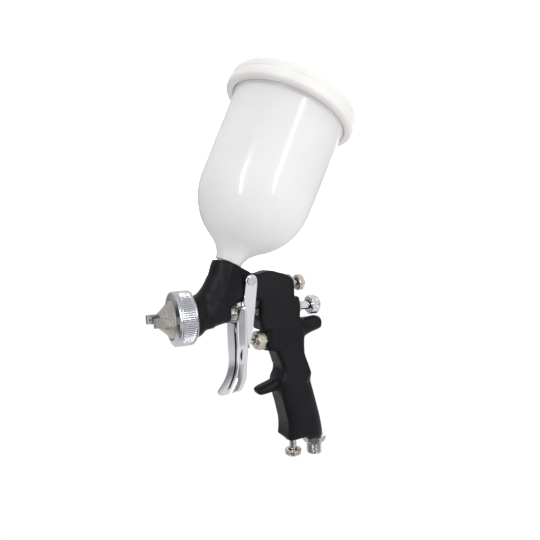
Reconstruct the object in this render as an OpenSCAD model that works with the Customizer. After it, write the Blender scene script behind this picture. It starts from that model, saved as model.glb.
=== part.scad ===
// Gravity-feed spray gun with a translucent paint cup.
// Spray direction is -X, +Z is up, and the end face of the air inlet is the origin.
// Most sub-parts are drawn in the spray frame: its origin lies on the needle axis at the
// front face of the retaining ring, and spray_frame() moves it to its place in the row.

/* [Spray head] */
// Outside diameter of the knurled retaining ring
ring_d = 42; // [40:0.5:44]
// Length of the retaining ring along the needle axis
ring_l = 17.6; // [17:0.1:18.5]
// Opening of the retaining ring, where the air cap shows
cap_opening_d = 31; // [30:0.5:31.5]
// How far the air cap's horns stand in front of the ring
horn_reach = 15.5; // [14:0.5:17]
// Diameter of the needle's shaft
needle_d = 2.5; // [2:0.1:3]

/* [Paint cup] */
// Tilt of the cup's axis towards the handle
cup_tilt = 26.3; // [22:0.1:30]
// Outside diameter of the cup near its lid
cup_d = 95.2; // [90:0.2:98]
// Height of the cup's rim above the gun's neck
cup_h = 145; // [125:1:160]
// Outside diameter of the lid
lid_d = 111; // [105:0.2:114]

/* [Trigger] */
// Height of the trigger's pivot above the needle axis
pivot_z = 25.7; // [24:0.1:27]
// Distance of the pivot behind the ring's front face
pivot_x = 62.8; // [62:0.1:63.5]
// Inside width between the trigger's two ears
ear_gap = 23.2; // [22.8:0.1:24]
// Thickness of the trigger's sheet
sheet = 2; // [1.6:0.1:2.2]

/* [Body and handle] */
// Width of the body between the trigger's ears
body_w = 22; // [20:0.5:22]
// Width of the handle across the palm
grip_w = 27; // [24:0.5:30]
// Height of the needle axis above the air inlet's end face
needle_h = 130.5; // [130:0.5:134]
// Distance of the air inlet behind the ring's front face
inlet_x = 123.6; // [122:0.1:124]

/* [Knobs and fittings] */
// Diameter of the paint-flow knob
fluid_knob_d = 16.3; // [15:0.1:17]
// Diameter of the fan and air-flow knobs
small_knob_d = 13.4; // [12:0.1:14]
// Major diameter of the air inlet's thread
inlet_thread_d = 13.157; // [13.1:0.001:13.2]

/* [Hidden] */
$fn = 96;

BLACK = [0.09, 0.09, 0.10];
CHROME = [0.80, 0.81, 0.83];
NICKEL = [0.68, 0.65, 0.58];
STEEL = [0.62, 0.62, 0.64];
MILKY = [0.93, 0.92, 0.92];
SEAL = [0.85, 0.84, 0.80];
RUBBER = [0.12, 0.12, 0.12];

run = 0.06;          // radial clearance of a running fit
gap = 0.3;           // clearance between parts that move apart
ring_r = ring_d / 2;
opening_r = cap_opening_d / 2;
thread_r = 16.2;     // outside of the barrel's ring thread
lip = 2.4;           // thickness of the ring's front lip
barrel_x = 6;        // front face of the barrel
chamber_r = 5;       // paint chamber round the needle
needle_r = needle_d / 2;
tip_x = -9.9;        // front end of the fluid nozzle

neck = [48.9, 40.4]; // centre of the neck's top, X and Z in the spray frame
neck_r = 11.6;
stub_r = 8.45;       // threaded stub of the cup, inside the neck
stub_l = 14;
cup_r = cup_d / 2;
cup_wall = 2.2;
bowl_h = 61;         // height where the bowl turns into the straight wall
bowl_r = cup_r - 1.3;
bowl_b = 51;         // half-height of the bowl's ellipse
flare_h = 17;        // height where the outlet's flare meets the bowl
outlet_r = 10.84;
lid_r = lid_d / 2;
lid_low = cup_h - 12.4;
lid_top = cup_h + 6;

fan_z = 20.2;        // height of the fan-width valve's axis
valve_z = -25;       // height of the air valve's axis
valve_face = 78;     // front face of the air valve's boss
housing_x = 108.7;   // rear face of the needle housing
fan_face = 104.2;    // rear face of the body at the fan-width valve
flow_x = 102.3;      // axis of the air-flow valve
flow_face = -111.5;  // underside of the handle at the air-flow valve
inlet_face = -114.3; // underside of the handle at the air inlet
ear_in = ear_gap / 2;
ear_mid = ear_in + sheet / 2;
web_top = -7;        // top edge of the trigger's web
tip_z = -64;         // lowest point of the trigger's blade

module spray_frame() translate([-inlet_x, 0, needle_h]) children();
module along_x(x = 0, z = 0) spray_frame() translate([x, 0, z]) rotate([0, 90, 0]) children();
module cup_frame() spray_frame() translate([neck[0], 0, neck[1]]) rotate([0, cup_tilt, 0]) children();
module down_at(x, z) spray_frame() translate([x, 0, z]) rotate([180, 0, 0]) children();
module side_plate(points, width) rotate([90, 0, 0]) linear_extrude(width, center = true) polygon(points);
module tube(r_out, r_in, h) difference() {
  cylinder(r = r_out, h = h);
  translate([0, 0, -1]) cylinder(r = r_in, h = h + 2);
}
module hexagon(across_flats, h) cylinder(d = across_flats / cos(30), h = h, $fn = 6);

// a smooth curve through the points of an open list, n steps for each span
function hermite(a, b, c, d, t) = 0.5 * (2 * b + (c - a) * t
  + (2 * a - 5 * b + 4 * c - d) * t * t + (3 * b - a - 3 * c + d) * t * t * t);
function curve(p, n = 6) = concat([for (i = [0:len(p) - 2]) for (k = [0:n - 1])
  hermite(p[max(i - 1, 0)], p[i], p[i + 1], p[min(i + 2, len(p) - 1)], k / n)], [p[len(p) - 1]]);
function lerp(a, b, t) = a + (b - a) * t;
function ease(t) = let(u = min(max(t, 0), 1)) u * u * (3 - 2 * u);

// one closed tube of a round wire wound on a cylinder along +Z
module coil(r, wire_r, length, turns, sides = 8, steps = 20) {
  count = turns * steps;
  rise = length - 2 * wire_r;
  points = [for (i = [0:count]) let(a = 360 * i / steps, z = wire_r + rise * i / count)
    for (k = [0:sides - 1]) let(b = 360 * k / sides, q = r + wire_r * cos(b))
      [q * cos(a), q * sin(a), z + wire_r * sin(b)]];
  walls = [for (i = [0:count - 1]) for (k = [0:sides - 1]) let(n = (k + 1) % sides)
    [i * sides + k, i * sides + n, (i + 1) * sides + n, (i + 1) * sides + k]];
  ends = [[for (k = [sides - 1:-1:0]) k], [for (k = [0:sides - 1]) count * sides + k]];
  polyhedron(points, concat(walls, ends), convexity = 10);
}

// a knob's disc with a recess on the side that faces the body, along +Z from its face
module knob_disc(d, h, recess_d, hub_r) difference() {
  rotate_extrude() polygon([[hub_r, 0], [d / 2 - 0.5, 0], [d / 2, 0.5], [d / 2, h - 1],
    [d / 2 - 1, h], [hub_r, h]]);
  translate([0, 0, -1]) cylinder(d = recess_d, h = 3);
}

/* ---- spray head ---- */

module air_cap() {
  shell = [[1.75, -9.6], [5.4, -9.6], [opening_r - gap, 0.6], [opening_r - gap, 2.7],
    [thread_r - 0.2, 2.7], [thread_r - 0.2, 5.7], [13.4, 5.7], [13.4, 3.4], [4.4, -6.6], [1.75, -7.4]];
  horn = [[10.2, -horn_reach], [13.4, -horn_reach], [13.9, 0.2], [8.2, -5.8], [7.6, -12.4]];
  color(NICKEL) along_x() difference() {
    union() {
      rotate_extrude() polygon(shell);
      for (side = [0, 180]) rotate([0, 0, side]) rotate([90, 0, 90])
        linear_extrude(7.4, center = true) polygon(horn);
    }
    for (side = [90, 270]) rotate([0, 0, side]) for (z = [-11.4, -8.4])
      translate([12, 0, z]) rotate([0, -118, 0]) translate([0, 0, -1.5]) cylinder(d = 1.3, h = 9);
    for (a = [0, 180]) rotate([0, 0, a]) translate([3.6, 0, -10]) cylinder(d = 0.9, h = 5);
  }
}

module retaining_ring() {
  outline = [[opening_r, 0], [opening_r + 0.9, 0], [ring_r - 0.5, 1.7], [ring_r, 2.4], [ring_r, 3.6],
    [ring_r - 0.4, 4], [ring_r - 0.4, ring_l - 3.4], [ring_r - 0.1, ring_l - 3], [ring_r - 0.4, ring_l - 2.2],
    [17.6, ring_l], [thread_r + run, ring_l], [thread_r + run, lip], [opening_r, lip]];
  color(CHROME) along_x() rotate_extrude() polygon(outline);
}

module fluid_nozzle() {
  outside = [[1.35, tip_x], [1.35, -8], [3.2, -5], [5.6, -1.5], [5.6, 2], [chamber_r + 0.95, 2],
    [chamber_r + 0.95, 20], [3.6, 20], [3.6, -1], [needle_r + 0.3, -5.5], [0.7, tip_x + 0.8], [0.7, tip_x]];
  color(STEEL) along_x() union() {
    rotate_extrude() polygon(outside);
    translate([0, 0, 2.2]) difference() {
      hexagon(13, 3.6);
      translate([0, 0, -1]) cylinder(r = chamber_r, h = 6);
    }
  }
}

module air_distributor() {
  color(STEEL) along_x(barrel_x + 0.05) difference() {
    tube(13, chamber_r + 1, 3);
    for (a = [0:45:315]) rotate([0, 0, a]) translate([9.8, 0, -1]) cylinder(d = 2.6, h = 6);
  }
}

module needle() {
  shaft = [[0, tip_x - 0.6], [0.3, tip_x - 0.6], [0.6, tip_x + 1], [needle_r, -5.5], [needle_r, 84],
    [3.4, 84], [3.4, 86], [needle_r, 86], [needle_r, 97.4], [needle_r - 0.5, 98], [0, 98]];
  color(STEEL) along_x() rotate_extrude() polygon(shaft);
}

module needle_collar() color(NICKEL) along_x(59.8) tube(4.5, needle_r + 0.02, 4.6);

module needle_packing() color(SEAL) along_x(34) tube(chamber_r - 0.05, needle_r + run, 3.6);

module packing_nut() color(NICKEL) along_x() difference() {
  union() {
    translate([0, 0, 37.8]) cylinder(r = chamber_r - 0.05, h = 9.2);
    translate([0, 0, 46.7]) hexagon(11, 6.8);
    translate([0, 0, 53.4]) cylinder(r = 4.4, h = 1.2);
  }
  translate([0, 0, 30]) cylinder(r = needle_r + 0.4, h = 30);
}

module needle_guide() color(NICKEL) along_x() difference() {
  union() {
    translate([0, 0, 70.2]) cylinder(r = 3.2, h = 4);
    translate([0, 0, 72.2]) cylinder(r = 3.95, h = 9);
  }
  translate([0, 0, 69]) cylinder(r = needle_r + run, h = 14);
}

module needle_spring() color(STEEL) along_x(86.3) coil(3.9, 0.45, 17.4, 7);

module fluid_bush() color(NICKEL) along_x() difference() {
  union() {
    translate([0, 0, 100]) cylinder(r = 6.25, h = 9);
    translate([0, 0, housing_x + 0.05]) rotate_extrude()
      polygon([[3, 0], [6.6, 0], [7.1, 0.5], [7.1, 1.8], [6.4, 2.6], [3, 2.6]]);
  }
  translate([0, 0, 99]) cylinder(r = 3.65 + run, h = 14);
  translate([0, 0, 99]) cylinder(r = 4.7, h = 4.9);
}

module fluid_screw() color(CHROME) along_x() union() {
  translate([0, 0, 104]) cylinder(r = 3.65, h = 19.88);
  translate([0, 0, 123.8]) cylinder(r = 2.5, h = 4);
}

module fluid_knob() color(CHROME) along_x(121.9) difference() {
  knob_disc(fluid_knob_d, 8, 11, 2.52);
  for (a = [0:30:330]) rotate([0, 0, a]) translate([fluid_knob_d / 2 + 0.9, 0, -1])
    cylinder(r = 1.6, h = 5.2);
}

/* ---- fan-width valve ---- */

module fan_bush() color(NICKEL) along_x(0, fan_z) difference() {
  union() {
    translate([0, 0, 90]) cylinder(r = 4.55, h = 14.3);
    translate([0, 0, fan_face + 0.05]) cylinder(r = 6, h = 1.6);
    translate([0, 0, fan_face + 1.6]) cylinder(r = 4.2, h = 1.2);
  }
  translate([0, 0, 89]) cylinder(r = 2.5 + run, h = 20);
}

module fan_spindle() color(STEEL) along_x(0, fan_z) difference() {
  rotate_extrude() polygon([[0, 82.6], [0.8, 82.6], [2.1, 86], [2.5, 86], [2.5, 94], [1.9, 94],
    [1.9, 95.4], [2.5, 95.4], [2.5, 112.68], [1.6, 112.68], [1.6, 114.6], [0, 114.6]]);
  translate([0, 0, 110]) cylinder(r = 0.9, h = 6);
}

module fan_oring() color(RUBBER) along_x(94.7, fan_z) rotate_extrude()
  translate([2.17, 0]) circle(r = 0.26, $fn = 24);

module fan_knob() color(NICKEL) along_x(110.7, fan_z) knob_disc(small_knob_d, 5.2, 8.6, 1.62);

module fan_knob_screw() color(STEEL) along_x(110.7, fan_z) difference() {
  union() {
    translate([0, 0, 5.25]) cylinder(r = 2.4, h = 0.9);
    translate([0, 0, 0.2]) cylinder(r = 0.88, h = 5.2);
  }
  translate([-3, -0.3, 5.6]) cube([6, 0.6, 1]);
}

/* ---- air valve ---- */

module air_valve_body() color(NICKEL) along_x(0, valve_z) difference() {
  union() {
    translate([0, 0, 68.6]) cylinder(r = 5.2, h = 2);
    translate([0, 0, 70.2]) intersection() {
      hexagon(14.4, 7.28);
      rotate_extrude() polygon([[0, 0], [7.2, 0], [8.4, 1], [8.4, 7.6], [0, 7.6]]);
    }
    translate([0, 0, 77]) cylinder(r = 7, h = 14);
  }
  translate([0, 0, 66]) cylinder(r = 2 + run, h = 12);
  translate([0, 0, 76.5]) cylinder(r = 4.4, h = 16);
  for (a = [0:90:270]) translate([0, 0, 83]) rotate([0, 90, a + 45]) cylinder(r = 1.8, h = 9);
}

module air_valve_seal() color(SEAL) along_x(91.2, valve_z) tube(6.9, 3.4, 1.5);

module air_valve_stem() color(STEEL) along_x(0, valve_z) union() {
  translate([0, 0, 52.6]) cylinder(r1 = 1.4, r2 = 2, h = 0.8);
  translate([0, 0, 53.3]) cylinder(r = 2, h = 39.9);
}

module air_valve_poppet() color(CHROME) along_x(93.1, valve_z) difference() {
  rotate_extrude() polygon([[0, 0], [4.6, 0], [4.6, 1.6], [2.4, 2.6], [2.4, 4], [0, 4]]);
  translate([0, 0, -1]) cylinder(r = 2.02, h = 1.2);
}

module air_valve_spring() color(STEEL) along_x(95.8, valve_z) coil(3.3, 0.4, 12, 5);

/* ---- trigger ---- */

// the blade's front line, half-width and rear edge at height z
function front_x(z) = z > -36 ? 48.1 : 48.1 - 11.7 * pow((-36 - z) / 28, 2.4);
function half_w(z) = lerp(11.4, ear_mid + 0.6, ease((z + 40) / 16));
function side_x(z) = z > -8 ? 59
  : z > -48 ? lerp(59, 56, (-8 - z) / 40)
  : 56 - 8.4 * pow((-48 - z) / 16, 1.8);
// the sheet's outer or inner face: u runs across from -1 to 1, v runs down from 0 to 1
function face_point(u, v, t) = let(
    top = lerp(web_top, 5, ease((abs(u) - 0.5) / 0.32)),
    low = lerp(tip_z, tip_z + 3.4, ease(abs(u))),
    z = lerp(top, low, v),
    w = half_w(z) - t,
    depth = side_x(z) - front_x(z) - t,
    a = 90 * u,
    bend = 1 - pow(max(cos(a), 0), 0.62))
  [front_x(z) + t + depth * bend, w * sign(u) * pow(abs(sin(a)), 0.8), z];

module blade(across = 28, down = 26) {
  row = across + 1;
  sheet_points = [for (t = [0, sheet]) for (j = [0:down]) for (i = [0:across])
    face_point(2 * i / across - 1, j / down, t)];
  inner = row * (down + 1);
  function cell(i, j) = j * row + i;
  outside = [for (j = [0:down - 1]) for (i = [0:across - 1]) for (half = [0, 1]) half == 0
    ? [cell(i, j), cell(i + 1, j + 1), cell(i + 1, j)] : [cell(i, j), cell(i, j + 1), cell(i + 1, j + 1)]];
  inside = [for (f = outside) [inner + f[2], inner + f[1], inner + f[0]]];
  rim = concat([for (i = [0:across]) cell(i, 0)], [for (j = [1:down]) cell(across, j)],
    [for (i = [across - 1:-1:0]) cell(i, down)], [for (j = [down - 1:-1:1]) cell(0, j)]);
  edge = [for (k = [0:len(rim) - 1]) for (half = [0, 1]) let(a = rim[k], b = rim[(k + 1) % len(rim)])
    half == 0 ? [a, b, inner + b] : [a, inner + b, inner + a]];
  polyhedron(sheet_points, concat(outside, inside, edge), convexity = 8);
}

module trigger() color(CHROME) spray_frame() difference() {
  union() {
    blade();
    for (side = [-1, 1]) translate([0, side * ear_mid, 0]) {
      side_plate([[57.8, pivot_z], [55.4, 10], [57, 4], [57.2, -22], [58.4, -27.6], [60, -23],
        [63, -9], [65.6, 8], [67.7, pivot_z]], sheet);
      translate([pivot_x, 0, pivot_z]) rotate([90, 0, 0]) cylinder(r = 5, h = sheet, center = true);
    }
    // the fork that draws the needle's collar back
    translate([56.4, -ear_mid, -9]) cube([2, 2 * ear_mid, 12]);
  }
  translate([pivot_x, 0, pivot_z]) rotate([90, 0, 0]) cylinder(r = 2.5 + run, h = 60, center = true);
  translate([50, -2, -3]) cube([20, 4, 10]);
}

module trigger_pin() color(STEEL) spray_frame() translate([pivot_x, 0, pivot_z]) rotate([-90, 0, 0]) union() {
  translate([0, 0, -ear_in - sheet - gap]) cylinder(r = 2.5, h = 2 * (ear_in + sheet + gap) + 1.6);
  translate([0, 0, -ear_in - sheet - gap - 1]) cylinder(r = 3.7, h = 1.05);
}

module trigger_clip() color(STEEL) spray_frame()
  translate([pivot_x, ear_in + sheet + gap + 0.7, pivot_z]) rotate([90, 0, 0]) difference() {
    tube(4, 2.52, 0.7);
    translate([0, -1.4, -1]) cube([6, 2.8, 3]);
  }

/* ---- air supply under the handle ---- */

module air_flow_bush() color(NICKEL) down_at(flow_x, 0) difference() {
  union() {
    translate([0, 0, 98]) cylinder(r = 5, h = -flow_face - 97.9);
    translate([0, 0, 0.05 - flow_face]) cylinder(r = 7, h = 1.6);
    translate([0, 0, 1.6 - flow_face]) cylinder(r1 = 7, r2 = 5, h = 0.9);
  }
  translate([0, 0, 97]) cylinder(r = 3 + run, h = 20);
}

module air_flow_spindle() color(STEEL) down_at(flow_x, 0) difference() {
  rotate_extrude() polygon([[0, 86], [0.8, 86], [2.4, 91], [3, 97], [3, 106], [2.3, 106],
    [2.3, 107.4], [3, 107.4], [3, 124.88], [1.6, 124.88], [1.6, 126.6], [0, 126.6]]);
  translate([0, 0, 121]) cylinder(r = 0.9, h = 8);
}

module air_flow_oring() color(RUBBER) down_at(flow_x, -106.7) rotate_extrude()
  translate([2.6, 0]) circle(r = 0.3, $fn = 24);

module air_flow_knob() color(NICKEL) down_at(flow_x, -122.9) knob_disc(small_knob_d + 0.6, 4.9, 8.6, 1.62);

module air_flow_knob_screw() color(STEEL) down_at(flow_x, -122.9) difference() {
  union() {
    translate([0, 0, 4.95]) cylinder(r = 2.4, h = 0.9);
    translate([0, 0, -0.2]) cylinder(r = 0.88, h = 5.2);
  }
  translate([-3, -0.3, 5.3]) cube([6, 0.6, 1]);
}

module air_inlet() color(CHROME) down_at(inlet_x, inlet_face) difference() {
  union() {
    translate([0, 0, -10]) cylinder(r = 4.9, h = 11);
    translate([0, 0, 0.55]) intersection() {
      hexagon(18, 5.2);
      rotate_extrude() polygon([[0, 0], [10.4, 0], [10.4, 3.6], [8.6, 5.2], [0, 5.2]]);
    }
    translate([0, 0, 5]) cylinder(d = 11.4, h = 2);
    translate([0, 0, 6.4]) cylinder(d = inlet_thread_d, h = 9.8);
  }
  translate([0, 0, -11]) cylinder(r = 3.4, h = 30);
  translate([0, 0, 14.2]) cylinder(r1 = 3.4, r2 = 5.2, h = 2.01);
}

module inlet_seal() color(SEAL) down_at(inlet_x, inlet_face - 0.02) tube(8, 4.95, 0.5);

/* ---- cup ---- */

function cup_outer(h) = h < flare_h
  ? outlet_r + (bowl_at(flare_h) - outlet_r) * pow(max(h, 0) / flare_h, 2.1)
  : h < bowl_h ? bowl_at(h) : lerp(bowl_r, cup_r, (h - bowl_h) / (cup_h - 15 - bowl_h));
function bowl_at(h) = bowl_r * sqrt(max(1 - pow((bowl_h - h) / bowl_b, 2), 0));

module cup() {
  heights = concat([for (h = [gap:1.4:flare_h]) h], [for (h = [flare_h + 2:3:bowl_h]) h],
    [bowl_h, cup_h - 15]);
  outside = [for (h = heights) [cup_outer(h), h]];
  inside = [for (i = [len(heights) - 1:-1:0]) [max(cup_outer(heights[i]) - cup_wall, 7), heights[i] + 0.6]];
  color(MILKY, 0.6) cup_frame() rotate_extrude() polygon(concat(
    [[6.6, -stub_l], [stub_r, -stub_l], [stub_r, gap]], outside,
    [[cup_r, cup_h - 14], [cup_r + 1, cup_h - 13], [cup_r + 1, cup_h], [cup_r - cup_wall, cup_h]],
    inside, [[6.6, 2]]));
}

module cup_strainer() color(MILKY) cup_frame() difference() {
  union() {
    translate([0, 0, -12]) tube(5.6, 4.6, 26);
    translate([0, 0, -12]) tube(6.5, 4.6, 2);
    translate([0, 0, 12]) cylinder(r = 5.6, h = 2);
  }
  for (a = [0:60:300]) for (h = [-8, 0.5]) rotate([0, 0, a]) translate([3, -1.4, h]) cube([4, 2.8, 6]);
}

module lid() {
  skirt = [[cup_r + 1.4, lid_low], [lid_r - 2, lid_low], [lid_r, lid_low + 2], [lid_r, lid_low + 6],
    [lid_r - 0.9, lid_low + 9.5], [lid_r - 1.6, lid_top - 2], [lid_r - 4, lid_top], [40, lid_top + 0.4],
    [9, lid_top + 1.6], [3, lid_top + 1.6], [3, lid_top + 5.4], [1.2, lid_top + 5.4],
    [1.2, lid_top - 3], [40, lid_top - 3.8], [cup_r + 1.4, lid_top - 4]];
  color(MILKY) cup_frame() difference() {
    rotate_extrude() polygon(skirt);
    translate([1.4, 0, lid_top + 4]) rotate([0, 90, 0]) cylinder(r = 0.6, h = 3);
  }
}

module lid_gasket() color(SEAL) cup_frame() translate([0, 0, cup_h + gap])
  tube(cup_r + 0.9, cup_r - 3.4, 1.6);

module vent_cap() color(MILKY) cup_frame() translate([0, 0, lid_top + 1.9]) difference() {
  rotate_extrude() polygon([[0, 0], [5.4, 0], [6, 0.6], [6, 4], [5, 5.2], [0, 5.2]]);
  translate([0, 0, -1]) cylinder(r = 3 + run, h = 4.8);
}

/* ---- body ---- */

// side outlines, as X and Z in the spray frame
upper_outline = concat(
  curve([[40, 20], [40.5, 41], [59.4, 35.6], [66, 31.6], [72.3, 30.4], [82.4, 32.4], [91, 30.4],
    [98.5, 27.8], [103, 24], [fan_face, 19]], 5),
  [[fan_face, 9.2], [107.6, 9.2], [housing_x, 8.1], [housing_x, -9], [111, -10], [112, -30]],
  [[111.4, -37], [89.8, -46], [85.6, -35], [valve_face, -33.2], [valve_face, -17]],
  curve([[73, -16], [71.6, -8], [72, 3], [70, 8.6], [63, 9.4], [55, 8.8], [46.2, 6.4]], 4),
  [[45.6, 2], [45.6, -6], [28, -8], [24, 16], [31.5, 25]]);
handle_outline = concat(
  [[96, -20], [109.5, -20]],
  curve([[109.8, -28], [112.4, -40], [116, -52], [120.4, -68], [124.6, -84], [128, -98], [130, -110]], 3),
  [[129.6, -113], [127.6, inlet_face], [112.6, inlet_face], [109.4, flow_face], [94.4, flow_face],
    [92.8, -109.6]],
  curve([[93.6, -104], [93.4, -96], [91, -84], [87.6, -70], [87.2, -60], [90.2, -52], [88.6, -42],
    [84, -30]], 3));
hook_outline = concat([[104, -10.2], [112, -10.4]],
  curve([[121, -10.2], [129, -9.9], [132.4, -12.6], [133, -17.4], [131, -21], [120, -24.2], [113, -28.4],
    [108.6, -37]], 4), [[104, -37]]);
spur_outline = concat([[92, -52]],
  curve([[87.6, -57.6], [82.4, -59.9], [70.8, -63.6], [68.6, -66.6], [71.4, -70], [78, -69.8],
    [86, -68.8]], 4),
  [[92, -72]]);
handle_axis = 14;    // lean of the handle's long axis
grip_r = grip_w / 2;

module grip_section() {
  // an oval bar along the handle, wider across the palm than at the strap
  translate([108, 0, -70]) rotate([0, -handle_axis, 0]) linear_extrude(130, center = true)
    oval(20.5, grip_r);
}
module oval(a, b) polygon([for (k = [0:3:357])
  [a * sign(cos(k)) * pow(abs(cos(k)), 0.72), b * sign(sin(k)) * pow(abs(sin(k)), 0.72)]]);

module body_solid() {
  side_plate(upper_outline, body_w);
  intersection() {
    side_plate(handle_outline, grip_w);
    grip_section();
  }
  side_plate(hook_outline, 14);
  side_plate(spur_outline, 13);
  // barrel with the ring's thread, flaring back into the neck
  rotate([0, 90, 0]) rotate_extrude() polygon(concat(
    [[0, barrel_x], [thread_r, barrel_x], [thread_r, ring_l + 0.3]],
    curve([[16.1, ring_l + 1], [15, 22], [11.8, 25.6], [9.8, 30], [8.2, 35], [7.2, 40], [6.9, 45.6]], 4),
    [[0, 45.6]]));
  translate([neck[0], 0, neck[1]]) rotate([0, cup_tilt, 0]) rotate_extrude() polygon(concat(
    curve([[neck_r, 0], [12, -6], [11.2, -16], [11.6, -24], [14, -34]], 3), [[0, -40], [0, 0]]));
  translate([valve_face - 0.5, 0, valve_z]) rotate([0, 90, 0]) cylinder(r = 8.6, h = 24);
  translate([84, 0, 0]) rotate([0, 90, 0]) cylinder(r = 9.6, h = housing_x - 84);
  translate([84, 0, fan_z]) rotate([0, 90, 0]) cylinder(r = 7.4, h = fan_face - 84);
}

module body_bores() {
  // needle line, front to back
  rotate([0, 90, 0]) {
    translate([0, 0, 5]) cylinder(r = chamber_r + 1, h = 15);
    translate([0, 0, 5]) cylinder(r = 13.1, h = 4.2);
    translate([0, 0, 19]) cylinder(r = chamber_r, h = 28);
    translate([0, 0, 60]) cylinder(r = 4, h = 25);
    translate([0, 0, 81.5]) cylinder(r = 5.2, h = 20);
    translate([0, 0, 99.9]) cylinder(r = 6.3, h = 12);
  }
  // paint way from the cup
  translate([neck[0], 0, neck[1]]) rotate([0, cup_tilt, 0]) {
    translate([0, 0, -stub_l - gap]) cylinder(r = stub_r + run, h = stub_l + 4);
    translate([0, 0, -46]) cylinder(r = chamber_r, h = 34);
  }
  // fan-width valve
  translate([0, 0, fan_z]) rotate([0, 90, 0]) {
    translate([0, 0, 89.8]) cylinder(r = 4.6, h = 18);
    translate([0, 0, 81]) cylinder(r = 2.7, h = 10);
  }
  // air valve
  translate([0, 0, valve_z]) rotate([0, 90, 0]) {
    translate([0, 0, 60]) cylinder(r = 7.05, h = 32.8);
    translate([0, 0, 92]) cylinder(r = chamber_r, h = 16.2);
  }
  // trigger pin
  translate([pivot_x, 0, pivot_z]) rotate([90, 0, 0]) cylinder(r = 2.52, h = 60, center = true);
  // air ways along both sides and down to the air valve
  for (side = [-1, 1]) translate([0, side * 8, 0]) {
    translate([5, 0, 11]) rotate([0, 90, 0]) cylinder(r = 1.6, h = 91);
    translate([95, 0, valve_z]) cylinder(r = 1.6, h = 37);
  }
  // air supply up the handle
  translate([inlet_x, 0, inlet_face - 1]) cylinder(r = 4.95, h = 11.2);
  translate([inlet_x, 0, -104]) rotate([0, -15.3, 0]) cylinder(r = 3.2, h = 79);
  translate([flow_x, 0, flow_face - 1]) cylinder(r = 5.05, h = 15);
  translate([flow_x, 0, -98]) cylinder(r = 3.2, h = 14);
  translate([flow_x, 0, -90]) rotate([0, 90, 0]) cylinder(r = 2.4, h = 17);
}

module gun_body() color(BLACK) spray_frame() difference() {
  body_solid();
  body_bores();
}

gun_body();
fluid_nozzle();
air_distributor();
air_cap();
retaining_ring();
needle();
needle_collar();
needle_packing();
packing_nut();
needle_guide();
needle_spring();
fluid_bush();
fluid_screw();
fluid_knob();
fan_bush();
fan_spindle();
fan_oring();
fan_knob();
fan_knob_screw();
air_valve_body();
air_valve_seal();
air_valve_stem();
air_valve_poppet();
air_valve_spring();
trigger();
trigger_pin();
trigger_clip();
air_flow_bush();
air_flow_spindle();
air_flow_oring();
air_flow_knob();
air_flow_knob_screw();
air_inlet();
inlet_seal();
cup();
cup_strainer();
lid();
lid_gasket();
vent_cap();
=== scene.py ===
"""Looks of the gravity-feed spray gun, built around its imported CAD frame.

Lengths in the shape code are millimetres in the spray frame: its origin is on the needle axis
at the front face of the retaining ring, X runs back towards the knobs, and Z is up.
spray() turns them into the row's metres.
"""
import math

import bmesh
import bpy
import numpy as np
from mathutils import Matrix, Vector


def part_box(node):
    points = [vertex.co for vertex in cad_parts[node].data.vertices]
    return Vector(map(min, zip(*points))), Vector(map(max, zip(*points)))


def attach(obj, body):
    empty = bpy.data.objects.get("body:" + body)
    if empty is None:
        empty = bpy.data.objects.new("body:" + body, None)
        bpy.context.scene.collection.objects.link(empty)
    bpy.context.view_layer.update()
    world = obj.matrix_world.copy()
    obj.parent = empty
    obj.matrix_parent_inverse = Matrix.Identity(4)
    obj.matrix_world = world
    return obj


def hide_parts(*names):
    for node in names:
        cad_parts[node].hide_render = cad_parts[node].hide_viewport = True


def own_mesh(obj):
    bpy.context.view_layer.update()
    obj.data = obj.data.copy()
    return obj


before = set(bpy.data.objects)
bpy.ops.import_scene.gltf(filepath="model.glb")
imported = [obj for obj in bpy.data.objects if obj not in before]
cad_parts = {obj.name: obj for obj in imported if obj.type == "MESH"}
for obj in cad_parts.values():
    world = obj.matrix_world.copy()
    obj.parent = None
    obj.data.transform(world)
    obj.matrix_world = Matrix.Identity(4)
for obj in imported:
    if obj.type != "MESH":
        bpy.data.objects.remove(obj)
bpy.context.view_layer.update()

MM = 0.001
RING_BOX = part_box("retaining_ring")
FRONT = Vector((RING_BOX[0][0], 0, (RING_BOX[0][2] + RING_BOX[1][2]) / 2))

# The gun's axes, in the spray frame
CUP_TILT = math.radians(26.3)   # the cup leans back
NECK = (48.9, 40.4)             # X and Z of the top of the neck
PIVOT = (62.8, 25.7)            # X and Z of the trigger pin
FAN_Z = 20.2                    # the fan control's line
VALVE_Z = -25                   # the air valve's line
FLOW_X = 102.3                  # the air-flow control's line
FLOW_FACE = -111.5              # the handle's underside round it
INLET_X = 123.6                 # the air inlet's line
INLET_FACE = -114.3             # the handle's underside round it

X_AXIS, Y_AXIS, Z_AXIS = (1, 0, 0), (0, 1, 0), (0, 0, 1)


# ---------------------------------------------------------------- frames

def spray(x=0, z=0):
    """The spray frame in metres, moved to a point on the gun's middle plane."""
    return Matrix.Translation(FRONT) @ Matrix.Scale(MM, 4) @ Matrix.Translation((x, 0, z))


def along_x(x=0, z=0):
    """A frame whose +Z runs back along the needle."""
    return spray(x, z) @ Matrix.Rotation(math.pi / 2, 4, "Y")


def downwards(x, z):
    """A frame whose +Z runs straight down."""
    return spray(x, z) @ Matrix.Rotation(math.pi, 4, "X")


def cup_frame():
    """The cup's frame: +Z runs up its tilted axis from the top of the gun's neck."""
    return spray(*NECK) @ Matrix.Rotation(CUP_TILT, 4, "Y")


# ---------------------------------------------------------------- materials

def nodes_of(name):
    """A new material, its node tree and its Principled shader."""
    mat = bpy.data.materials.new(name)
    mat.use_nodes = True
    tree = mat.node_tree
    return mat, tree, tree.nodes["Principled BSDF"]


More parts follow.
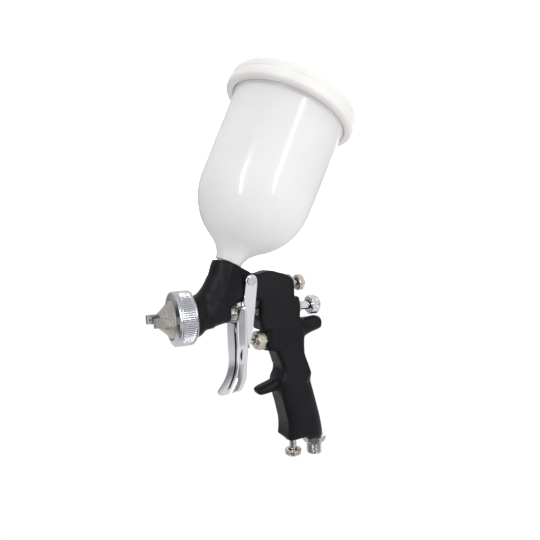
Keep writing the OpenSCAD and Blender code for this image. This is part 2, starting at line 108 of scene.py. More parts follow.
def new_node(tree, kind, **values):
    """A node with the given inputs or settings."""
    made = tree.nodes.new(kind)
    for key, value in values.items():
        if key in made.inputs:
            made.inputs[key].default_value = value
        else:
            setattr(made, key, value)
    return made


def noise(tree, vector, scale, detail=4.0, roughness=0.55):
    """A noise with about scale waves to the metre."""
    made = new_node(tree, "ShaderNodeTexNoise", Scale=scale, Detail=detail, Roughness=roughness)
    tree.links.new(vector, made.inputs["Vector"])
    return made.outputs["Fac"]


def spread(tree, value, low, high):
    """Maps a 0.3 to 0.7 noise onto low to high."""
    made = tree.nodes.new("ShaderNodeMapRange")
    for key, number in (("From Min", 0.3), ("From Max", 0.7), ("To Min", low), ("To Max", high)):
        made.inputs[key].default_value = number
    tree.links.new(value, made.inputs["Value"])
    return made.outputs["Result"]


def blend_colours(tree, value, first, second):
    """Maps a 0.3 to 0.7 noise onto two colours."""
    made = tree.nodes.new("ShaderNodeValToRGB")
    made.color_ramp.elements[0].position = 0.3
    made.color_ramp.elements[0].color = (*first, 1)
    made.color_ramp.elements[1].position = 0.7
    made.color_ramp.elements[1].color = (*second, 1)
    tree.links.new(value, made.inputs["Fac"])
    return made.outputs["Color"]


def bumped(tree, shader, height, strength, distance):
    """Gives a shader bumps from a height, distance metres deep."""
    made = new_node(tree, "ShaderNodeBump", Strength=strength, Distance=distance)
    tree.links.new(height, made.inputs["Height"])
    tree.links.new(made.outputs["Normal"], shader.inputs["Normal"])


def object_point(tree):
    """The place on the object, in metres."""
    return tree.nodes.new("ShaderNodeTexCoord").outputs["Object"]


def black_coat():
    """Powder coat of the body: near black, with a fine grain."""
    mat, tree, shader = nodes_of("black_coat")
    point = object_point(tree)
    broad = noise(tree, point, 45, 3)
    grain = noise(tree, point, 2600, 2, 0.5)
    colour = blend_colours(tree, broad, (0.0035, 0.0035, 0.0052), (0.0062, 0.0062, 0.0088))
    tree.links.new(colour, shader.inputs["Base Color"])
    tree.links.new(spread(tree, broad, 0.40, 0.50), shader.inputs["Roughness"])
    shader.inputs["Specular IOR Level"].default_value = 0.18
    bumped(tree, shader, grain, 0.22, 0.00006)
    return mat


def polished(name, colour, rough_low, rough_high):
    """Chrome: a mirror with faint smudges and hairline unevenness."""
    mat, tree, shader = nodes_of(name)
    point = object_point(tree)
    smudge = noise(tree, point, 70, 5, 0.6)
    shader.inputs["Metallic"].default_value = 1
    tree.links.new(blend_colours(tree, smudge, tuple(0.96 * c for c in colour), colour),
                   shader.inputs["Base Color"])
    tree.links.new(spread(tree, smudge, rough_low, rough_high), shader.inputs["Roughness"])
    bumped(tree, shader, noise(tree, point, 160, 2), 0.05, 0.00005)
    return mat


def turned(name, colour, centre, axis, rough=(0.2, 0.34), line=5200, depth=0.000012):
    """Metal turned on a lathe: fine rings about the given axis, uneven in tone and gloss."""
    mat, tree, shader = nodes_of(name)
    point = object_point(tree)
    shift = new_node(tree, "ShaderNodeVectorMath", operation="SUBTRACT")
    tree.links.new(point, shift.inputs[0])
    shift.inputs[1].default_value = centre
    along = new_node(tree, "ShaderNodeVectorMath", operation="DOT_PRODUCT")
    tree.links.new(shift.outputs["Vector"], along.inputs[0])
    along.inputs[1].default_value = axis
    across = new_node(tree, "ShaderNodeVectorMath", operation="CROSS_PRODUCT")
    tree.links.new(shift.outputs["Vector"], across.inputs[0])
    across.inputs[1].default_value = axis
    radius = new_node(tree, "ShaderNodeVectorMath", operation="LENGTH")
    tree.links.new(across.outputs["Vector"], radius.inputs[0])
    both = tree.nodes.new("ShaderNodeCombineXYZ")
    tree.links.new(along.outputs["Value"], both.inputs["X"])
    tree.links.new(radius.outputs["Value"], both.inputs["Y"])
    rings = noise(tree, both.outputs["Vector"], line, 2, 0.6)
    tone = noise(tree, point, 120, 4)
    shader.inputs["Metallic"].default_value = 1
    tree.links.new(blend_colours(tree, tone, tuple(0.86 * c for c in colour), colour),
                   shader.inputs["Base Color"])
    tree.links.new(spread(tree, rings, *rough), shader.inputs["Roughness"])
    bumped(tree, shader, rings, 0.35, depth)
    return mat


def milky_plastic():
    """Polypropylene of the cup: light soaks through its wall, shapes behind it don't show."""
    mat, tree, shader = nodes_of("milky_plastic")
    point = object_point(tree)
    cloud = noise(tree, point, 25, 3)
    tint = blend_colours(tree, cloud, (0.92, 0.912, 0.914), (0.95, 0.942, 0.944))
    tree.links.new(tint, shader.inputs["Base Color"])
    tree.links.new(spread(tree, noise(tree, point, 300, 3), 0.1, 0.16), shader.inputs["Roughness"])
    shader.inputs["IOR"].default_value = 1.49
    bumped(tree, shader, noise(tree, point, 500, 2), 0.05, 0.00002)
    through = tree.nodes.new("ShaderNodeBsdfTranslucent")
    tree.links.new(tint, through.inputs["Color"])
    both = tree.nodes.new("ShaderNodeMixShader")
    both.inputs["Fac"].default_value = 0.42
    tree.links.new(shader.outputs["BSDF"], both.inputs[1])
    tree.links.new(through.outputs["BSDF"], both.inputs[2])
    tree.links.new(both.outputs["Shader"], tree.nodes["Material Output"].inputs["Surface"])
    return mat


def white_plastic(name, low, high, rough=(0.3, 0.42)):
    """A moulded white plastic, a little uneven in tone."""
    mat, tree, shader = nodes_of(name)
    point = object_point(tree)
    cloud = noise(tree, point, 40, 3)
    tree.links.new(blend_colours(tree, cloud, low, high), shader.inputs["Base Color"])
    tree.links.new(spread(tree, noise(tree, point, 260, 3), *rough), shader.inputs["Roughness"])
    shader.inputs["Subsurface Weight"].default_value = 0.25
    shader.inputs["Subsurface Scale"].default_value = 0.003
    bumped(tree, shader, noise(tree, point, 1100, 2), 0.12, 0.00004)
    return mat


def soft_rubber():
    """Black rubber of the O-rings."""
    mat, tree, shader = nodes_of("soft_rubber")
    point = object_point(tree)
    bloom = noise(tree, point, 200, 3)
    tree.links.new(blend_colours(tree, bloom, (0.012, 0.012, 0.012), (0.02, 0.02, 0.02)),
                   shader.inputs["Base Color"])
    tree.links.new(spread(tree, noise(tree, point, 700, 3), 0.55, 0.7), shader.inputs["Roughness"])
    return mat


# ---------------------------------------------------------------- mesh helpers

WELD_GAP = 0.000002   # metres: points closer than this become one


def new_object(name, data):
    """An object linked into the scene."""
    made = bpy.data.objects.new(name, data)
    bpy.context.scene.collection.objects.link(made)
    return made


def new_mesh(name, verts, faces, material):
    """A mesh object made of points in metres."""
    mesh = bpy.data.meshes.new(name)
    mesh.from_pydata(verts, [], faces)
    mesh.validate()
    mesh.materials.append(material)
    return new_object(name, mesh)


def add_mesh(name, verts, faces, matrix, material, smooth_angle=40):
    """A mesh object made of points in the matrix's frame, shaded smooth up to an angle in degrees."""
    piece = new_mesh(name, [matrix @ Vector(v) for v in verts], faces, material)
    welded = bmesh.new()
    welded.from_mesh(piece.data)
    bmesh.ops.remove_doubles(welded, verts=welded.verts, dist=WELD_GAP)
    bmesh.ops.recalc_face_normals(welded, faces=welded.faces)
    sharp = math.radians(smooth_angle)
    for edge in welded.edges:
        edge.smooth = len(edge.link_faces) == 2 and edge.calc_face_angle(0) < sharp
    for face in welded.faces:
        face.smooth = True
    welded.to_mesh(piece.data)
    welded.free()
    return piece


def ring_quads(rings, sides, closed=False):
    """Faces that join each ring of points to the next; closed joins the last ring to the first."""
    quads = []
    for i in range(rings if closed else rings - 1):
        j = (i + 1) % rings
        for k in range(sides):
            n = (k + 1) % sides
            quads.append((i * sides + k, i * sides + n, j * sides + n, j * sides + k))
    return quads


def settle(piece, body, slot, *nodes):
    """Says what a piece rides on and hides the CAD nodes it stands for. Its finish, slot, is not used."""
    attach(piece, body)
    if nodes:
        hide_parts(*nodes)


def rounded(profile, radius=0.35, steps=3, closed=True):
    """A profile of (r, z) corners with each corner rounded off."""
    made = []
    count = len(profile)
    for i, corner in enumerate(profile):
        here = np.array(corner, float)
        before, after = profile[i - 1], profile[(i + 1) % count]
        if not closed and i in (0, count - 1):
            made.append(tuple(here))
            continue
        a = np.array(before, float) - here
        b = np.array(after, float) - here
        la = np.linalg.norm(a)
        lb = np.linalg.norm(b)
        cut = min(radius, 0.45 * la, 0.45 * lb)
        start = here + a / la * cut
        end = here + b / lb * cut
        for t in np.linspace(0, 1, steps + 1):
            made.append(tuple((1 - t) ** 2 * start + 2 * t * (1 - t) * here + t * t * end))
    return made


def densify(profile, step):
    """The same closed profile with points no further apart than step."""
    made = []
    for start, end in zip(profile, profile[1:] + profile[:1]):
        a = np.array(start, float)
        b = np.array(end, float)
        parts = max(1, math.ceil(np.linalg.norm(b - a) / step))
        made += [tuple(a + (b - a) * k / parts) for k in range(parts)]
    return made


def lathe(name, profile, matrix, material, segments, shape=None, smooth_angle=40):
    """Turns a closed profile of (r, z) about +Z. shape(r, z, angle) may change the radius."""
    verts = []
    for r, z in profile:
        for k in range(segments):
            a = 2 * math.pi * k / segments
            q = shape(r, z, a) if shape else r
            verts.append((q * math.cos(a), q * math.sin(a), z))
    faces = ring_quads(len(profile), segments, closed=True)
    return add_mesh(name, verts, faces, matrix, material, smooth_angle)


def hexed(across_flats):
    """A radius limit that cuts a turned shape to a hexagon."""
    half_side = math.pi / 6

    def limit(r, z, a):
        return min(r, across_flats / 2 / math.cos((a + half_side) % (2 * half_side) - half_side))
    return limit


def curve(points, steps):
    """A smooth line through the points, with steps short lines between each two."""
    p = [np.array(q, float) for q in points]
    made = []
    for i in range(len(p) - 1):
        a, b, c, d = p[max(i - 1, 0)], p[i], p[i + 1], p[min(i + 2, len(p) - 1)]
        for k in range(steps):
            t = k / steps
            made.append(tuple(0.5 * (2 * b + (c - a) * t + (2 * a - 5 * b + 4 * c - d) * t * t
                                     + (3 * b - a - 3 * c + d) * t ** 3)))
    return made + [tuple(p[-1])]


def ease(t):
    """0 to 1 with soft ends."""
    u = min(max(t, 0), 1)
    return u * u * (3 - 2 * u)


def mix(a, b, t):
    """From a at t = 0 to b at t = 1."""
    return a + (b - a) * t


# ---------------------------------------------------------------- sculpted body

SLOPE_SAMPLES = 200   # places where a turned shape's slope is taken


def soft_union(a, b, k):
    """Two fields joined, with a fillet about k mm wide."""
    h = np.clip(0.5 + 0.5 * (b - a) / k, 0, 1)
    return b + (a - b) * h - k * h * (1 - h)


def soft_cut(a, b, k):
    """The part of a that lies inside b, with the edge rounded."""
    return -soft_union(-a, -b, k)


def line_distance(x, z, points, closed=True):
    """Distance to a line through the points."""
    best = np.full(np.broadcast(x, z).shape, np.inf)
    ends = points[1:] + points[:1] if closed else points[1:]
    for (ax, az), (bx, bz) in zip(points, ends):
        dx, dz = bx - ax, bz - az
        t = np.clip(((x - ax) * dx + (z - az) * dz) / (dx * dx + dz * dz + 1e-12), 0, 1)
        best = np.minimum(best, np.hypot(x - ax - t * dx, z - az - t * dz))
    return best


def between(place, start, end):
    """0 before start and 1 past end, with a soft rise from one to the other."""
    t = np.clip((place - start) / (end - start), 0, 1)
    return t * t * (3 - 2 * t)


def outline_distance(x, z, points):
    """Distance to a closed outline, negative inside it."""
    inside = np.zeros(np.broadcast(x, z).shape, bool)
    for (ax, az), (bx, bz) in zip(points, points[1:] + points[:1]):
        crosses = (az > z) != (bz > z)
        inside ^= crosses & (x < ax + (z - az) * (bx - ax) / (bz - az + 1e-12))
    return np.where(inside, -1, 1) * line_distance(x, z, points)


def pillow(flat, y, half, radius):
    """A plate with the given outline distance, its rims rounded."""
    a = flat + radius
    b = np.abs(y) - half + radius
    return np.minimum(np.maximum(a, b), 0) + np.hypot(np.maximum(a, 0), np.maximum(b, 0)) - radius


def spun(along, off, profile):
    """A turned shape: radius against place along its axis, with flat ends."""
    places = [place for place, _ in profile]
    radii = [radius for _, radius in profile]
    low, high = places[0], places[-1]
    fine = np.linspace(low, high, SLOPE_SAMPLES)
    slope = np.gradient(np.interp(fine, places, radii), (high - low) / (SLOPE_SAMPLES - 1))
    lean = np.interp(along, fine, 1 / np.sqrt(1 + slope * slope))
    side = (off - np.interp(along, places, radii)) * lean
    return np.maximum(side, np.maximum(low - along, along - high))


# Flat faces of the body, in X
BARREL_FRONT = 6
NUT_SEAT = 108.7     # behind the needle's line
FAN_SEAT = 104.2     # behind the fan control's line
SIDE_BULGE = 2.3     # power of the handle's oval

# Outlines on the middle plane, as (x, z)
UPPER = curve([(40, 20), (40.5, 41), (59.4, 35.6), (66, 31.6), (72.3, 30.4), (82.4, 32.4), (91, 30.4),
               (98.5, 27.8), (103, 24), (FAN_SEAT, 19)], 5) + [
    (FAN_SEAT, 9.2), (107.6, 9.2), (NUT_SEAT, 8.1), (NUT_SEAT, -9), (111, -10), (112, -30), (111.4, -37),
    (89.8, -46), (85.6, -35), (78, -33.2), (78, -17)] + curve(
    [(73, -16), (71.6, -8), (72, 3), (70, 8.6), (63, 9.4), (55, 8.8), (46.2, 6.4)], 4) + [
    (45.6, 2), (45.6, -2), (38, -2), (33, 14), (35, 27)]
GRIP_BACK = [(106, 0), (109, -16)] + curve(
    [(109.8, -28), (112.4, -40), (116, -52), (120.4, -68), (124.6, -84), (128, -98), (130, -110)], 4) + [
    (129.6, -113), (129, -118)]
GRIP_FRONT = [(93, -118), (92.8, -109.6)] + curve(
    [(93.6, -104), (93.4, -96), (91, -84), (87.6, -70), (87.2, -60), (90.2, -52), (88.6, -42), (84, -30)],
    4) + [(84, -16), (86, 0)]
GRIP = GRIP_BACK[:-1] + [
    (127.6, INLET_FACE), (112.6, INLET_FACE), (109.4, FLOW_FACE), (94.4, FLOW_FACE)] + GRIP_FRONT[1:]
HOOK = [(104, -10.2)] + curve([(112, -10.4), (121, -10.2), (129, -9.9), (132.4, -12.6), (133, -17.4),
                               (131, -21), (120, -24.2), (113, -28.4), (108.6, -37)], 5) + [(104, -37)]
SPUR = [(92, -52)] + curve([(87.6, -57.6), (82.4, -59.9), (70.8, -63.6), (68.6, -66.6), (71.4, -70),
                            (78, -69.8), (86, -68.8)], 5) + [(92, -72)]
# the pocket between throat and rear part where the trigger hangs
POCKET = [(45.6, 5), (46.4, 6.6), (55, 8.9), (63, 9.5), (70, 8.7), (72, 3), (71.6, -8), (73, -16),
          (78, -16.4), (78, -38), (45.6, -38)]

# Turned shapes, as (place along the axis, radius)
BARREL = [(BARREL_FRONT, 16.2), (17.9, 16.2)] + curve(
    [(18.6, 16.1), (22, 15), (25.6, 11.8), (30, 9.8), (35, 8.2), (40, 7.2), (45.6, 6.9)], 4)
THROAT = curve([(-50, 6), (-44, 10), (-37, 12.6), (-30, 12.8), (-24, 11.8), (-16, 11.2), (-6, 12),
                (0, 11.6)], 4)
VALVE_BOSS = [(77.5, 8.3), (78, 8.6), (101, 8.6)]
NEEDLE_BOSS = [(84, 9.6), (107.9, 9.6), (NUT_SEAT, 8.9)]
FAN_BOSS = [(84, 7.4), (103.5, 7.4), (FAN_SEAT, 6.8)]


def neck_place(x, z):
    """Place along the neck's axis from its mouth, and distance from it on the middle plane."""
    cs, sn = math.cos(CUP_TILT), math.sin(CUP_TILT)
    px, pz = x - NECK[0], z - NECK[1]
    return px * sn + pz * cs, px * cs - pz * sn


def grip_oval(x, y, z):
    """The handle's section: a flat strap in front, a crease down each side of it, and an oval back."""
    front = line_distance(x, z, GRIP_FRONT, False)
    back = line_distance(x, z, GRIP_BACK, False)
    t = front / (front + back + 1e-9)
    half = 13.4 + 0.3 * np.clip((-88 - z) / 20, 0, 1)
    u = np.where(t < 0.45, (0.45 - t) / 0.62, (t - 0.45) / 0.55)
    oval = (u ** SIDE_BULGE + (np.abs(y) / half) ** SIDE_BULGE) ** (1 / SIDE_BULGE)
    return (oval - 1) * half


def side_slab(x, y, z):
    """Side plate and handle as one slab: thin towards the barrel, thick across the palm."""
    side = soft_union(outline_distance(x, z, UPPER), outline_distance(x, z, GRIP), 3)
    half = 6 + 5 * between(x, 25, 51) + 2.5 * between(z, -34, -66)
    rim = 4.4 + 2.4 * between(x, 50, 38)
    slab = pillow(side, y, half, rim)
    # its flanks fall in a little towards the top of the hump
    flank = np.abs(y) - 11.2 - 10 * between(z, -10, -30) + 0.16 * np.clip(z - 12, 0, 30)
    slab = soft_cut(slab, flank, 2)
    return soft_cut(slab, grip_oval(x, y, z) - 12 * between(z, -66, -36), 1.1)


def barrel(x, y, z):
    """The barrel: round at the ring, and broader than tall where it meets the throat."""
    return spun(x, np.hypot(y * (1 - 0.3 * between(x, 19, 33)), z), BARREL)


def throat_rib(y, up, out):
    """A soft rib down each side of the throat."""
    rib = np.hypot(out + 1 + 0.1 * up, np.maximum(np.abs(y) - 9.3, 0) * 0.9) - 2.1
    return np.maximum(rib, np.maximum(-27 - up, up + 2))


def flat_faces(x, z, up, out):
    """Front of the barrel, mouth of the neck, seats of the knobs, and underside of the handle."""
    mouth = up - 0.8 * np.maximum(out - 20, 0)
    rear = np.where(z < -5, 140, np.where(z < 9.4, NUT_SEAT, FAN_SEAT))
    under = np.where(x < 111, FLOW_FACE, INLET_FACE)
    return BARREL_FRONT - x, mouth, x - rear, under - z


def bore(off, radius, along, low=-math.inf, high=math.inf):
    """A round hole about an axis, between two places along it."""
    return np.maximum(off - radius, np.maximum(low - along, along - high))


# Holes along the needle's line, as (radius, from X, to X): nozzle, air distributor, packing,
# needle guide, needle spring and fluid bush
NEEDLE_BORES = ((6.05, 4, 20), (13.15, 4, 9.25), (5.05, 19, 47), (4.05, 60, 85), (5.25, 81.5, 102),
                (6.35, 99.9, 112))


def bores(x, y, z, up, out):
    """The holes that the gun's parts sit in."""
    needle = np.hypot(y, z)
    for radius, low, high in NEEDLE_BORES:
        yield bore(needle, radius, x, low, high)
    # the cup's spigot, and the paint way below it
    neck = np.hypot(out, y)
    yield bore(neck, 8.55, up, -14.3, 3)
    yield bore(neck, 5.05, up, -46, -12)
    # the fan control's bush and spindle
    fan = np.hypot(y, z - FAN_Z)
    yield bore(fan, 4.65, x, low=89.8)
    yield bore(fan, 2.75, x, low=81)
    # the air valve's body and seal, and its poppet and spring
    valve = np.hypot(y, z - VALVE_Z)
    yield bore(valve, 7.1, x, 60, 92.8)
    yield bore(valve, 5.05, x, 60, 108.2)
    # the trigger pin and the air inlet
    yield bore(np.hypot(x - PIVOT[0], z - PIVOT[1]), 2.55, y)
    yield bore(np.hypot(x - INLET_X, y), 5, z, high=-103)
    # the air-flow control's bush and spindle
    flow = np.hypot(x - FLOW_X, y)
    yield bore(flow, 5.1, z, high=-97.4)
    yield bore(flow, 3.2, z, high=-84)


def body_field(x, y, z):
    """The body's field: negative inside it. Lumps are blended on, then faces and holes are cut."""
    up, out = neck_place(x, z)
    shape = side_slab(x, y, z)
    lumps = (
        (barrel(x, y, z), 8),
        (spun(up, np.hypot(out, y), THROAT), 7),
        (throat_rib(y, up, out), 4),
        (spun(x, np.hypot(y, z - VALVE_Z), VALVE_BOSS), 2),
        (spun(x, np.hypot(y, z), NEEDLE_BOSS), 2),
        (spun(x, np.hypot(y, z - FAN_Z), FAN_BOSS), 2.5),
        (pillow(outline_distance(x, z, HOOK), y, 7, 5.4), 5),
        (pillow(outline_distance(x, z, SPUR), y, 6.5, 4.4), 4),
    )
    for lump, fillet in lumps:
        shape = soft_union(shape, lump, fillet)
    for face in flat_faces(x, z, up, out):
        shape = np.maximum(shape, face)
    shape = np.maximum(shape, -outline_distance(x, z, POCKET))
    for hole in bores(x, y, z, up, out):
        shape = np.maximum(shape, -hole)
    return shape


def surface_nets(values, origin, step):
    """Quads round the zero surface of a field sampled on a grid."""
    inside = values < 0
    # each cell's point is the mean of the places where its edges cross the surface
    nx, ny, nz = (n - 1 for n in values.shape)
    total = np.zeros((nx, ny, nz, 3))
    count = np.zeros((nx, ny, nz))
    corners = [(i, j, k) for i in (0, 1) for j in (0, 1) for k in (0, 1)]
    for a in corners:
        for axis in range(3):
            if a[axis]:
                continue
            b = tuple(c + (n == axis) for n, c in enumerate(a))
            va, vb = (values[c[0]:c[0] + nx, c[1]:c[1] + ny, c[2]:c[2] + nz] for c in (a, b))
            crossed = (va < 0) != (vb < 0)
            t = np.where(crossed, va / np.where(va == vb, 1, va - vb), 0)
            count += crossed
            for n in range(3):
                total[..., n] += np.where(crossed, a[n] + (t if n == axis else 0), 0)
    active = count > 0
    index = np.full(active.shape, -1)
    index[active] = np.arange(active.sum())
    cells = np.argwhere(active)
    verts = (cells + total[active] / count[active][:, None]) * step + origin
    # each grid line that crosses the surface gets a face through the four cells round it
    quads = []
    for axis in range(3):
        one, two = (n for n in range(3) if n != axis)
        low = [slice(1, -1)] * 3
        low[axis] = slice(0, -1)
        high = list(low)
        high[axis] = slice(1, None)
        a = inside[tuple(low)]
        b = inside[tuple(high)]
        places = np.argwhere(a != b)
        places[:, [one, two]] += 1
        flip = a[a != b] == (axis == 1)
        ring = []
        for s, t in ((0, 0), (1, 0), (1, 1), (0, 1)):
            cell = places.copy()
            cell[:, one] -= s
            cell[:, two] -= t
            ring.append(index[cell[:, 0], cell[:, 1], cell[:, 2]])
        ring = np.stack(ring, 1)
        ring[flip] = ring[flip][:, ::-1]
        quads.append(ring)
    return verts, np.concatenate(quads)


def sculpt(name, field, low, high, step, material):
    """A solid that is the same on both sides of the middle plane, from a field sampled every step mm."""
    xs = np.arange(low[0], high[0], step)
    ys = (np.arange(math.ceil(high[1] / step)) + 0.5) * step
    zs = np.arange(low[2], high[2], step)
    half = field(xs[:, None, None], ys[None, :, None], zs[None, None, :])
    values = np.concatenate([half[:, ::-1], half], 1)
    verts, quads = surface_nets(values, np.array([xs[0], -ys[-1], zs[0]]), step)
    piece = new_mesh(name, verts.tolist(), quads.tolist(), material)
    piece.data.transform(spray())
    piece.data.shade_smooth()
    return piece


# ---------------------------------------------------------------- finishes

NICKEL = (0.74, 0.69, 0.60)
BRASSY_NICKEL = (0.68, 0.63, 0.52)
DULL_STEEL = (0.56, 0.565, 0.57)


def gun_line(z=0):
    """A point on a line that runs along the gun, for a lathe-turned finish."""
    return tuple(FRONT + Vector((0, 0, z * MM)))


def gun_point(x, z=0):
    """A point of the gun's middle plane in metres."""
    return tuple(spray(x, z) @ Vector())


COAT = black_coat()
CHROME = polished("chrome_plate", (0.80, 0.81, 0.82), 0.05, 0.11)
RING_CHROME = turned("ring_chrome", (0.60, 0.61, 0.64), gun_line(), X_AXIS, (0.18, 0.28), 3600)
CAP_NICKEL = turned("cap_nickel", (0.46, 0.44, 0.40), gun_line(), X_AXIS, (0.2, 0.34), 4200, 0.00002)
NICKEL_X = turned("nickel_needle_line", NICKEL, gun_line(), X_AXIS)
NICKEL_FAN = turned("nickel_fan_line", NICKEL, gun_line(FAN_Z), X_AXIS)
NICKEL_VALVE = turned("nickel_valve_line", BRASSY_NICKEL, gun_line(VALVE_Z), X_AXIS)
NICKEL_FLOW = turned("nickel_flow_line", NICKEL, gun_point(FLOW_X), Z_AXIS)
SILVER_INLET = turned("silver_inlet", (0.54, 0.545, 0.54), (0, 0, 0), Z_AXIS, (0.22, 0.36))
STEEL = turned("turned_steel", DULL_STEEL, gun_line(), X_AXIS, (0.18, 0.3))
STEEL_Z = turned("turned_steel_upright", DULL_STEEL, gun_point(FLOW_X), Z_AXIS, (0.18, 0.3))
STEEL_PIN = turned("turned_steel_pin", (0.60, 0.60, 0.59), gun_point(*PIVOT), Y_AXIS, (0.16, 0.3))
KNOB_CHROME = turned("knob_chrome", (0.78, 0.79, 0.80), gun_line(), X_AXIS, (0.07, 0.15), 3000, 0.000006)
CUP_PLASTIC = milky_plastic()
LID_PLASTIC = white_plastic("lid_plastic", (0.80, 0.785, 0.765), (0.85, 0.835, 0.815))
VENT_PLASTIC = white_plastic("vent_plastic", (0.80, 0.79, 0.77), (0.85, 0.84, 0.82))
SEAL_WHITE = white_plastic("ptfe_white", (0.72, 0.71, 0.68), (0.80, 0.79, 0.76), (0.4, 0.55))
RUBBER = soft_rubber()

CAD_FINISH = {
    STEEL: ("fluid_nozzle", "air_distributor", "needle", "fan_spindle", "fan_knob_screw",
            "air_valve_stem", "needle_spring", "air_valve_spring"),
    STEEL_Z: ("air_flow_spindle", "air_flow_knob_screw"),
    STEEL_PIN: ("trigger_pin", "trigger_clip"),
    NICKEL_X: ("needle_collar", "needle_guide", "fluid_bush"),
    NICKEL_FAN: ("fan_bush",),
    NICKEL_FLOW: ("air_flow_bush",),
    KNOB_CHROME: ("fluid_screw", "air_valve_poppet"),
    SEAL_WHITE: ("needle_packing", "air_valve_seal", "inlet_seal", "lid_gasket"),
    RUBBER: ("fan_oring", "air_flow_oring"),
    VENT_PLASTIC: ("cup_strainer",),
}
for finish, names in CAD_FINISH.items():
    for name in names:
        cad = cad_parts[name]
        if not cad.material_slots:
            cad.data.materials.append(finish)
        for slot in cad.material_slots:
            slot.material = finish


# ---------------------------------------------------------------- body

BODY_LOW = (3, 0, -117)
BODY_HIGH = (137, 18.4, 43.5)
BODY_STEP = 0.7   # fine enough for the creases, and under the limit on faces
settle(sculpt("body_shell", body_field, BODY_LOW, BODY_HIGH, BODY_STEP, COAT),
       "gun", "black_body", "gun_body")


# ---------------------------------------------------------------- ring and air cap

KNURL_RUNOUT = 0.5   # how far a groove takes to reach its depth


def knurled(low, high, teeth, depth):
    """A straight knurl: V-grooves between flat teeth, over a stretch of the axis."""
    def cut(r, z, a):
        groove = max(abs((a * teeth / (2 * math.pi)) % 1 - 0.5) * 4 - 1, 0)
        fade = ease((z - low) / KNURL_RUNOUT) * ease((high - z) / KNURL_RUNOUT)
        return r - depth * fade * groove
    return cut


def rim_only(cut, radius):
    """The same cut, made only in what lies further out than radius."""
    return lambda r, z, a: cut(r, z, a) if r > radius else r


RING = rounded([(15.5, 0), (16.5, 0), (20.3, 1.5), (21, 2.3), (21, 3.4), (20.5, 3.9), (21, 4.3),
                (21, 14.0), (20.5, 14.4), (20.9, 14.8), (20.5, 15.6), (17.6, 17.6), (16.3, 17.6),
                (16.3, 3), (15.5, 3)], 0.3)
ring_cut = rim_only(knurled(4.3, 13.9, 80, 0.85), 19)
settle(lathe("ring_shell", densify(RING, 0.9), along_x(), RING_CHROME, 800, ring_cut, smooth_angle=20),
       "ring", "chrome", "retaining_ring")

CAP = rounded([(1.75, -9.5), (5.2, -9.6), (6.2, -8.8), (10.4, -4.0), (15.15, 0.5), (15.15, 2.7),
               (16.1, 2.7), (16.1, 5.7), (13.4, 5.7), (13.4, 3.4), (4.4, -6.6), (1.75, -7.4)])
HORN = rounded([(10.3, -15.5), (13.2, -15.5), (13.9, 0.4), (8.2, -5.6), (7.6, -12.2)], 0.7, 4)


def bar(name, outline, width, matrix, material, bevel=0.4):
    """A plate cut to a side outline of (across, along), its rims bevelled."""
    half = width / 2
    count = len(outline)
    verts = [(half * s, a, b) for s in (-1, 1) for a, b in outline]
    faces = [tuple(range(count)), tuple(range(2 * count - 1, count - 1, -1))]
    faces += [(k, (k + 1) % count, count + (k + 1) % count, count + k) for k in range(count)]
    piece = add_mesh(name, verts, faces, matrix, material, 30)
    edge = piece.modifiers.new("rims", "BEVEL")
    edge.width = bevel * MM
    edge.segments = 3
    edge.limit_method = "ANGLE"
    edge.angle_limit = math.radians(50)
    edge.harden_normals = True
    return piece


DRILL_CORE = 0.0001   # a drill's end faces meet in the middle, where they weld shut


def drilled(piece, *holes):
    """Drills round holes: each is (matrix, radius, length) with the hole along +Z from the matrix."""
    for matrix, r, length in holes:
        rod = [(DRILL_CORE, 0), (r, 0), (r, length), (DRILL_CORE, length)]
        drill = lathe("drill", rod, matrix, STEEL, 32)
        cut = piece.modifiers.new("hole", "BOOLEAN")
        cut.operation = "DIFFERENCE"
        cut.solver = "EXACT"
        cut.object = drill
        bpy.context.view_layer.objects.active = piece
        with bpy.context.temp_override(object=piece, active_object=piece):
            bpy.ops.object.modifier_apply(modifier="hole")
        bpy.data.objects.remove(drill)
    return piece


settle(lathe("cap_shell", densify(CAP, 1.2), along_x(), CAP_NICKEL, 160, smooth_angle=30),
       "cap", "nickel", "air_cap")
JET_RADIUS = 0.65
inwards = Matrix.Rotation(math.radians(118), 4, "X")   # a horn's jets point back at the nozzle's tip
for side in (0, 180):
    turn = along_x() @ Matrix.Rotation(math.radians(side), 4, "Z")
    jets = [(turn @ Matrix.Translation((0, 12, z)) @ inwards, JET_RADIUS, 9) for z in (-8.4, -11.4)]
    horn = bar(f"cap_horn_{side}", HORN, 6.6, turn, CAP_NICKEL, 1.1)
    settle(drilled(horn, *jets), "cap", "nickel")


# ---------------------------------------------------------------- knobs and fittings

def fluted(radius, count, width, depth, end):
    """Round flutes scooped out of a knob's rim as far as end along its axis."""
    def cut(r, z, a):
        off = abs((a * count / (2 * math.pi) + 0.5) % 1 - 0.5) / count * 2 * math.pi * radius
        scoop = math.sqrt(max(0, 1 - (off / width) ** 2)) * depth
        return r - scoop * ease((end - z) / 0.8)
    return cut


FLUID_KNOB_X = 121.9
FAN_KNOB_X = 110.7
FLOW_KNOB_Z = -122.9
FLUID_KNOB = rounded([(2.52, 2), (5.5, 2), (5.5, 0), (7.65, 0), (8.15, 0.5), (8.15, 7), (7.2, 8),
                      (3, 7.8), (2.52, 7.8)])
flutes = rim_only(fluted(8.15, 12, 1.35, 0.6, 5.4), 6.55)
settle(lathe("fluid_knob_shell", densify(FLUID_KNOB, 0.6), along_x(FLUID_KNOB_X), KNOB_CHROME, 288,
             flutes, smooth_angle=32), "fluid_control", "chrome", "fluid_knob")


